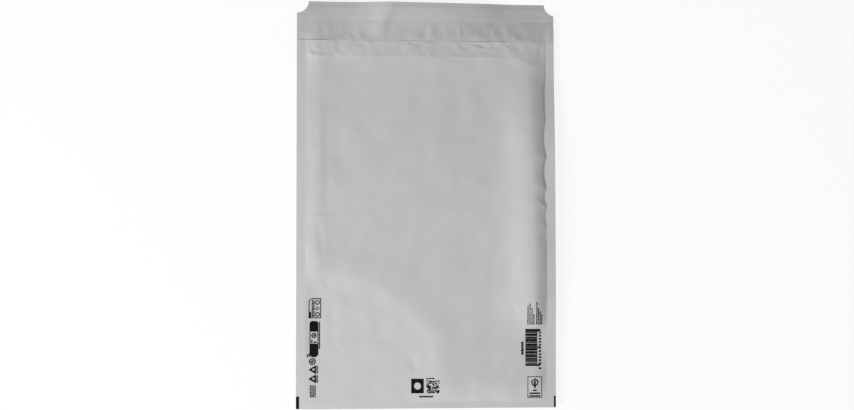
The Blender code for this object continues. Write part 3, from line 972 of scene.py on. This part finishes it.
# %% [markdown]
# ## Print
# The front carries the small print that every postal pack has: boxes, bars, a code of bars and lines of
# tiny text. Here they are plain shapes of no maker, and the text is only dashes of different lengths. Each
# shape is a flat plate cut into small squares and let down on the paper by a Shrinkwrap modifier, so it
# follows every swell. That keeps its edges sharp at any distance, which a painted texture wouldn't.

# %% Plates of ink
INK_LIFT, INK = 0.00028, 0.00005
INK_CELL, PLATES_START_Z = 0.0011, 0.03
# In millimetres: a slice of a block, the words of the text and the gap between them.
SLICE, WORD_LEAST, WORD_MOST, WORD_GAP, LINE_END = 0.8, 1.2, 4.2, 0.55, 0.8
ink_shapes = {}


def ink_rectangle(sheet, x0, y0, x1, y1):
    """A plate between two corners, in millimetres from the middle of the sheet."""
    columns = max(1, math.ceil((x1 - x0) * MM / INK_CELL))
    rows = max(1, math.ceil((y1 - y0) * MM / INK_CELL))
    x, y = np.meshgrid(np.linspace(x0, x1, columns + 1) * MM, np.linspace(y0, y1, rows + 1) * MM)
    flat = np.stack([x.ravel(), y.ravel()], axis=-1)
    ink_shapes.setdefault(sheet, []).append((flat, grid_faces(rows + 1, columns + 1)))


def ink_block(sheet, x0, y0, x1, y1, top=0.0, bottom=0.0):
    """A block with cut corners at its top or bottom, as a stack of level slices."""
    slices = max(1, round((y1 - y0) / SLICE))
    cuts = np.linspace(y0, y1, slices + 1)
    for low, high in zip(cuts, cuts[1:]):
        inset = max(0.0, top - (y1 - high), bottom - (low - y0))
        ink_rectangle(sheet, x0 + inset, low, x1 - inset, high)


def ink_frame(sheet, x0, y0, x1, y1, line):
    """An outlined box."""
    ink_rectangle(sheet, x0, y0, x1, y0 + line)
    ink_rectangle(sheet, x0, y1 - line, x1, y1)
    ink_rectangle(sheet, x0, y0 + line, x0 + line, y1 - line)
    ink_rectangle(sheet, x1 - line, y0 + line, x1, y1 - line)


def ink_band(sheet, outer, inner):
    """The band between two closed outlines of as many points each, such as a ring or an open triangle."""
    count = len(outer)
    flat = np.concatenate([np.array(outer), np.array(inner)]) * MM
    faces = [(k, (k + 1) % count, count + (k + 1) % count, count + k) for k in range(count)]
    ink_shapes.setdefault(sheet, []).append((flat, faces))


def ink_ring(sheet, x, y, radius, line, corners=24, turn=0.0):
    angles = np.linspace(0, 2 * math.pi, corners, endpoint=False) + turn
    outer = [(x + radius * math.cos(a), y + radius * math.sin(a)) for a in angles]
    inner = [(x + (radius - line) * math.cos(a), y + (radius - line) * math.sin(a)) for a in angles]
    ink_band(sheet, outer, inner)


def ink_words(sheet, x, bottom, top, line, seed, upright=True):
    """A line of tiny text as dashes of different lengths, upright or level."""
    lengths = np.random.default_rng(seed)
    at = bottom
    while at < top - LINE_END:
        word = min(lengths.uniform(WORD_LEAST, WORD_MOST), top - at)
        if upright:
            ink_rectangle(sheet, x - line / 2, at, x + line / 2, at + word)
        else:
            ink_rectangle(sheet, at, x - line / 2, at + word, x + line / 2)
        at += word + WORD_GAP


print("one cell of a plate, mm: %.1f" % (INK_CELL / MM))

# %% Print at the left
LEFT = "print_left"
# An outlined box with one cut corner, a dark tab, two lines of text and a row of small rings.
box_outline = [(-144.8, -140.0), (-129.8, -140.0), (-129.8, -115.8), (-141.6, -115.8), (-144.8, -119.0)]
box_inside = [(-143.9, -139.1), (-130.7, -139.1), (-130.7, -116.7), (-141.2, -116.7), (-143.9, -119.4)]
ink_band(LEFT, box_outline, box_inside)
ink_rectangle(LEFT, -143.9, -139.1, -142.0, -132.4)
ink_words(LEFT, -140.4, -138.4, -118.0, 1.2, 40)
ink_words(LEFT, -138.4, -138.4, -118.0, 1.2, 39)
for number, bottom in enumerate((-138.4, -131.2, -123.8)):
    ink_ring(LEFT, -134.2, bottom + 3.0, 2.8, 1.1, corners=4 if number % 2 else 24)
# A long panel: a frame between two dark blocks with cut corners.
PANEL_LEFT, PANEL_RIGHT, FRAME_BOTTOM, FRAME_TOP = -143.6, -133.0, -172.0, -155.4
ink_block(LEFT, PANEL_LEFT, FRAME_TOP, PANEL_RIGHT, -143.6, top=1.8)
ink_frame(LEFT, PANEL_LEFT, FRAME_BOTTOM, PANEL_RIGHT, FRAME_TOP, 0.9)
ink_ring(LEFT, -138.3, -161.0, 3.2, 1.2)
ink_ring(LEFT, -138.3, -161.0, 1.2, 1.0)
ink_rectangle(LEFT, -141.6, -170.2, -140.2, -166.4)
ink_rectangle(LEFT, -138.6, -170.2, -135.4, -168.6)
ink_block(LEFT, PANEL_LEFT, -187.4, PANEL_RIGHT, FRAME_BOTTOM, bottom=2.6)
ink_ring(LEFT, -145.0, -185.4, 1.9, 1.0)
ink_words(LEFT, -131.6, -177.4, -144.2, 1.3, 41)
# Below the panel: a double ring, two triangles with a line of text each, and a small block of text.
ink_ring(LEFT, -140.2, -192.8, 4.1, 1.3)
ink_ring(LEFT, -140.2, -192.8, 1.7, 1.2)
for middle, seed in ((-202.6, 45), (-213.8, 46)):
    ink_ring(LEFT, -138.8, middle, 6.2, 3.8, corners=3, turn=math.pi)
    ink_words(LEFT, -134.2, middle - 4.4, middle + 4.4, 1.4, seed)
for number in range(4):
    ink_words(LEFT, -142.4 + 1.9 * number, -236.2, -221.8, 1.1, 50 + number)

# %% Print at the bottom
CENTRE = "print_centre"
# A dark patch with a round hole: the points of its outline are walked round from corner to corner.
PATCH_MIDDLE, PATCH_HALF_WIDTH, PATCH_HALF_HEIGHT, HOLE_RADIUS = (-11.7, -223.2), 7.6, 8.8, 4.4
side = np.linspace(-PATCH_HALF_WIDTH, PATCH_HALF_WIDTH, 9)[:-1]
upright = [p * PATCH_HALF_HEIGHT / PATCH_HALF_WIDTH for p in side]
outline = [(p, -PATCH_HALF_HEIGHT) for p in side] + [(PATCH_HALF_WIDTH, p) for p in upright]
outline += [(-p, PATCH_HALF_HEIGHT) for p in side] + [(-PATCH_HALF_WIDTH, -p) for p in upright]
round_hole = [(HOLE_RADIUS * x / math.hypot(x, y), HOLE_RADIUS * y / math.hypot(x, y)) for x, y in outline]
ink_band(CENTRE, np.add(outline, PATCH_MIDDLE), np.add(round_hole, PATCH_MIDDLE))
# A square code of random cells, which carries no message. The cells overlap a little, so no gap shows.
CODE_CELLS, CODE_CELL, CODE_SHARE, CODE_CORNER, CELL_OVERLAP = 15, 1.06, 0.56, (-0.7, -232.2), 0.02
code_cells = np.random.default_rng(77).random((CODE_CELLS, CODE_CELLS)) < CODE_SHARE
for row, column in zip(*np.nonzero(code_cells)):
    x, y = CODE_CORNER[0] + CODE_CELL * column, CODE_CORNER[1] + CODE_CELL * row
    ink_rectangle(CENTRE, x, y, x + CODE_CELL + CELL_OVERLAP, y + CODE_CELL + CELL_OVERLAP)
ink_words(CENTRE, -214.2, -1.0, 10.2, 1.2, 61, upright=False)
ink_words(CENTRE, -236.2, -9.4, 7.4, 1.9, 62, upright=False)

# %% Print at the right
RIGHT = "print_right"
TEXT_LINES = (
    (124.6, -124.8), (127.1, -122.6), (129.6, -128.6), (131.8, -136.2),
    (135.5, -119.8), (137.6, -128.4), (139.8, -131.4), (141.8, -136.0),
)
for number, (x, top) in enumerate(TEXT_LINES):
    ink_words(RIGHT, x, -148.4, top, 1.1, 70 + number)
# A code of random bars, which carries no number. Those at its ends and middle are longer.
BARS_START, BARS_END, BAR_LEFT, BAR_RIGHT, LONG_BAR_RIGHT = -199.4, -155.0, 121.8, 136.6, 140.2
LONG_BARS = ((BARS_START - 1, -198.5), (-178.5, -175.5), (-158.0, BARS_END))
BAR_WIDTHS, BAR_GAPS = (0.9, 1.5, 2.2, 3.0), (0.3, 0.45, 0.7)
bars = np.random.default_rng(90)
at = BARS_START
while at < BARS_END:
    thickness = bars.choice(BAR_WIDTHS)
    is_long = any(low < at < high for low, high in LONG_BARS)
    ink_rectangle(RIGHT, BAR_LEFT, at, LONG_BAR_RIGHT if is_long else BAR_RIGHT, at + thickness)
    at += thickness + bars.choice(BAR_GAPS)
# Plain blocks stand where the digits of such a code would be.
DIGIT_LEFT, DIGIT_RIGHT, DIGITS_START, DIGIT_PITCH, DIGIT_HEIGHT = 138.6, 141.4, -197.2, 3.75, 2.3
for number in range(11):
    bottom = DIGITS_START + DIGIT_PITCH * number
    ink_block(RIGHT, DIGIT_LEFT, bottom, DIGIT_RIGHT, bottom + DIGIT_HEIGHT, top=0.5)
ink_rectangle(RIGHT, DIGIT_LEFT, -203.4, DIGIT_RIGHT, -201.2)
ink_words(RIGHT, 118.0, -185.4, -168.8, 2.7, 95)
# A framed figure: a five-sided ring on a stem, over three short bars.
ink_frame(RIGHT, 124.4, -238.6, 142.4, -212.2, 0.6)
ink_ring(RIGHT, 133.4, -219.6, 5.0, 1.5, corners=5, turn=math.pi / 2)
ink_rectangle(RIGHT, 132.4, -226.4, 134.4, -217.4)
for y, reach in ((-229.4, 2.2), (-233.0, 6.4), (-236.4, 6.8)):
    ink_rectangle(RIGHT, 133.4 - reach, y - 0.85, 133.4 + reach, y + 0.85)

# %% Print marks at the bottom corners
MARKS = "edge_marks"
ink_rectangle(MARKS, -159.9, -250.0, -156.3, -235.2)
ink_rectangle(MARKS, 157.4, -250.0, 159.6, -236.4)


# %% [markdown]
# ## Letting the plates down on the paper
# The plates start as flat shapes above the envelope. Shrinkwrap drops each point straight down until it
# meets the paper and stops a hair above it, and Solidify gives it a film of thickness. The ink itself is a
# dark grey with a slight unevenness, as thin print on absorbent paper has.

# %% Ink finish and pieces
def ink_finish():
    material, tree, shader = shade_nodes("black ink")
    shader.inputs["Specular IOR Level"].default_value = 0.08
    uneven = noise(tree, scale=1500, detail=2)
    tree.links.new(tone_between(tree, uneven, grey(0.003), grey(0.008)), shader.inputs["Base Color"])
    vary_roughness(tree, shader, uneven, low=0.6, high=0.75)
    return material


black_ink = ink_finish()
for name, shapes in ink_shapes.items():
    points, faces = [], []
    for flat, shape_faces in shapes:
        faces += [tuple(len(points) + corner for corner in face) for face in shape_faces]
        points += [(x, y, PLATES_START_Z) for x, y in flat]
    plates = new_piece(name, points, faces)
    drop = plates.modifiers.new("let down", "SHRINKWRAP")
    drop.target = paper
    drop.wrap_method = "PROJECT"
    drop.use_project_z = True
    drop.use_negative_direction, drop.use_positive_direction = True, False
    drop.offset = INK_LIFT
    film_of_ink = plates.modifiers.new("film of ink", "SOLIDIFY")
    film_of_ink.thickness = INK
    film_of_ink.offset = -1
    dress(plates, black_ink)
    print(name, "plates:", len(shapes))

# %% [markdown]
# ## Floor and light
# The envelope was photographed on white. The floor is pale and keeps the soft shadow. It is lifted towards
# white only where the camera sees it, directly or through something clear, so that the object's own light
# level stays plain. One large soft light stands to the left and a little below the picture: it rakes over
# the paper, so each swell has a lit and a dim side. A faint second light stands opposite, and the rest
# comes evenly from the world.

# %% Floor
FLOOR_TONE, FLOOR_LIFT = 0.82, 0.88
bpy.ops.mesh.primitive_plane_add(size=8)
floor = bpy.context.object
floor.name = "floor"
floor_material, floor_tree, floor_shader = shade_nodes("white table")
floor_shader.inputs["Base Color"].default_value = (FLOOR_TONE, FLOOR_TONE, FLOOR_TONE, 1)
floor_shader.inputs["Roughness"].default_value = 0.8
seen = floor_tree.nodes.new("ShaderNodeLightPath")
direct = floor_tree.nodes.new("ShaderNodeMath")
direct.operation = "MAXIMUM"
floor_tree.links.new(seen.outputs["Is Camera Ray"], direct.inputs[0])
floor_tree.links.new(seen.outputs["Is Transmission Ray"], direct.inputs[1])
lift = floor_tree.nodes.new("ShaderNodeMath")
lift.operation = "MULTIPLY"
lift.inputs[1].default_value = FLOOR_LIFT
floor_tree.links.new(direct.outputs[0], lift.inputs[0])
white = add_node(floor_tree, "ShaderNodeEmission", Color=(1, 1, 1, 1), Strength=1.0)
both = floor_tree.nodes.new("ShaderNodeMixShader")
floor_tree.links.new(lift.outputs[0], both.inputs["Fac"])
floor_tree.links.new(floor_shader.outputs[0], both.inputs[1])
floor_tree.links.new(white.outputs[0], both.inputs[2])
floor_tree.links.new(both.outputs[0], floor_tree.nodes["Material Output"].inputs["Surface"])
floor.data.materials.append(floor_material)

# %% World and lamp
WORLD_LEVEL = 0.30
LAMP_PLACE, LAMP_POWER, LAMP_SIZE = (-2.09, -1.36, 1.27), 115, 0.95
FILL_PLACE, FILL_POWER, FILL_SIZE = (1.70, 0.90, 1.30), 3.0, 1.0

world = bpy.data.worlds.new("even light")
world.use_nodes = True
bpy.context.scene.world = world
around = world.node_tree.nodes["Background"]
around.inputs["Color"].default_value = (1, 1, 1, 1)
seen_by = world.node_tree.nodes.new("ShaderNodeLightPath")
level = world.node_tree.nodes.new("ShaderNodeMapRange")
level.inputs["To Min"].default_value = WORLD_LEVEL
level.inputs["To Max"].default_value = 1.0
world.node_tree.links.new(seen_by.outputs["Is Camera Ray"], level.inputs["Value"])
world.node_tree.links.new(level.outputs["Result"], around.inputs["Strength"])


def soft_lamp(name, at, power, size):
    """A square soft light that looks at the middle of the envelope."""
    light = bpy.data.lights.new(name, "AREA")
    light.energy, light.size = power, size
    lamp = bpy.data.objects.new(name, light)
    lamp.location = at
    lamp.rotation_euler = (-Vector(at)).to_track_quat("-Z", "Y").to_euler()
    bpy.context.scene.collection.objects.link(lamp)


soft_lamp("key lamp", LAMP_PLACE, LAMP_POWER, LAMP_SIZE)
soft_lamp("fill lamp", FILL_PLACE, FILL_POWER, FILL_SIZE)
bpy.context.scene.view_settings.view_transform = "Standard"
lamp_angle = math.degrees(math.asin(LAMP_PLACE[2] / Vector(LAMP_PLACE).length))
print("lamp height above the table, degrees: %.0f" % lamp_angle)

# %% [markdown]
# ## Camera
# The photograph looks almost straight down, from a little left of and below the middle. That was found by
# matching where the sheet's corners fall in the picture. The camera is turned by building its three axes,
# since a camera that looks straight down has no natural up.

# %% Camera
CAMERA_PLACE = Vector((-0.1805, -0.1159, 2.0))
CAMERA_AIM = Vector((0.0011, -0.0007, 0.0))
CAMERA_TURN = math.radians(0.2)
CAMERA_LENS, SENSOR_WIDTH = 68.55, 36

backwards = (CAMERA_PLACE - CAMERA_AIM).normalized()
level_right = Vector((math.cos(CAMERA_TURN), math.sin(CAMERA_TURN), 0))
right = (level_right - level_right.dot(backwards) * backwards).normalized()
camera_data = bpy.data.cameras.new("camera")
camera_data.lens, camera_data.sensor_width = CAMERA_LENS, SENSOR_WIDTH
camera = bpy.data.objects.new("camera", camera_data)
bpy.context.scene.collection.objects.link(camera)
axes = Matrix((right, backwards.cross(right), backwards)).transposed()
camera.matrix_world = Matrix.Translation(CAMERA_PLACE) @ axes.to_4x4()
bpy.context.scene.camera = camera

# %% [markdown]
# ## Bringing the scene up to date
# Last, the scene is worked out once more, so that every modifier has taken effect. The dressed envelope
# has to stay in the box of its solids. Both boxes are kept, so that the two can be compared after every
# change.

# %% Update the scene
bpy.context.view_layer.update()
